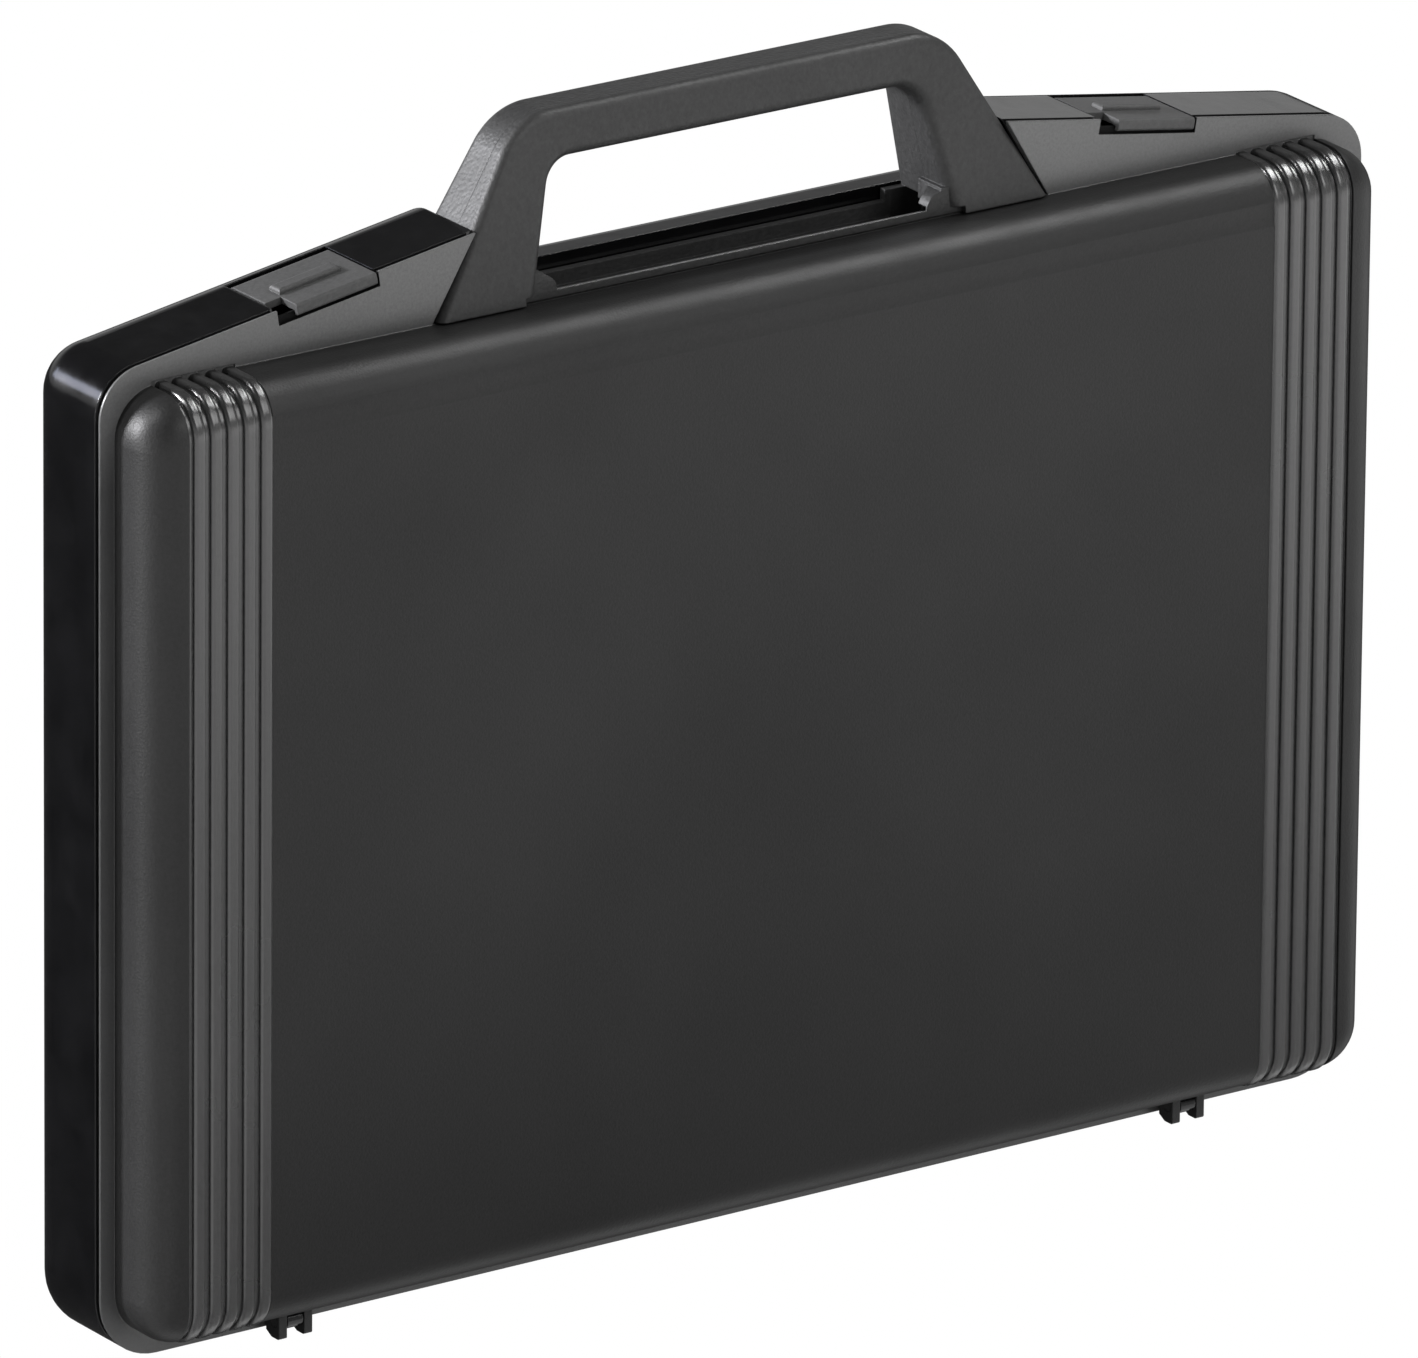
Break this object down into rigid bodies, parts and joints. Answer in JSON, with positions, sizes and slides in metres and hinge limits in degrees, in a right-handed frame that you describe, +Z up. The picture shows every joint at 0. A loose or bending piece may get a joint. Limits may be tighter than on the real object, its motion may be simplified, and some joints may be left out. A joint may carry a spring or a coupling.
{
  "type": "attache case",
  "caption": "Slim hard-shell attache case with a ribbed lid, a moulded loop handle, two flap latches and two bottom hinges.",
  "frame": {"origin": "on the floor plane, under the middle of the case as it stands on its hinge edge", "axes": "+X to the viewer's right across the width, +Y from the lid to the back, +Z up to the handle"},
  "size_m": [0.44, 0.0588, 0.3497],
  "materials": {
    "gloss_shell": "polished black moulding",
    "lid": "fine grained black moulding",
    "handle": "coarse spark-eroded grain",
    "latch": "fine grained black moulding",
    "pin": "plain drawn wire",
    "screw": "blackened"
  },
  "bodies": {
    "case": {"rear_shell": "gloss_shell", "handle_front": "handle", "handle_rear": "handle", "handle_screws": "screw", "seat_screws": "screw", "latch_pin_left": "pin", "latch_pin_right": "pin", "hinge_pin_left": "pin", "hinge_pin_right": "pin"},
    "lid": {"front_shell": "lid"},
    "latch_left": {"latch_left": "latch"},
    "latch_right": {"latch_right": "latch"}
  },
  "joints": [
    {"name": "lid_hinge", "type": "hinge", "parent": "case", "child": "lid", "pos_m": [0, -0.01375, 0.005], "axis": [1, 0, 0], "range_deg": [0, 175]},
    {"name": "latch_left_hinge", "type": "hinge", "parent": "case", "child": "latch_left", "pos_m": [-0.14262, 0.01445, 0.30896], "axis": [-0.9871, 0, -0.1599], "range_deg": [0, 85]},
    {"name": "latch_right_hinge", "type": "hinge", "parent": "case", "child": "latch_right", "pos_m": [0.14262, 0.01445, 0.30896], "axis": [-0.9871, 0, 0.1599], "range_deg": [0, 85]}
  ]
}
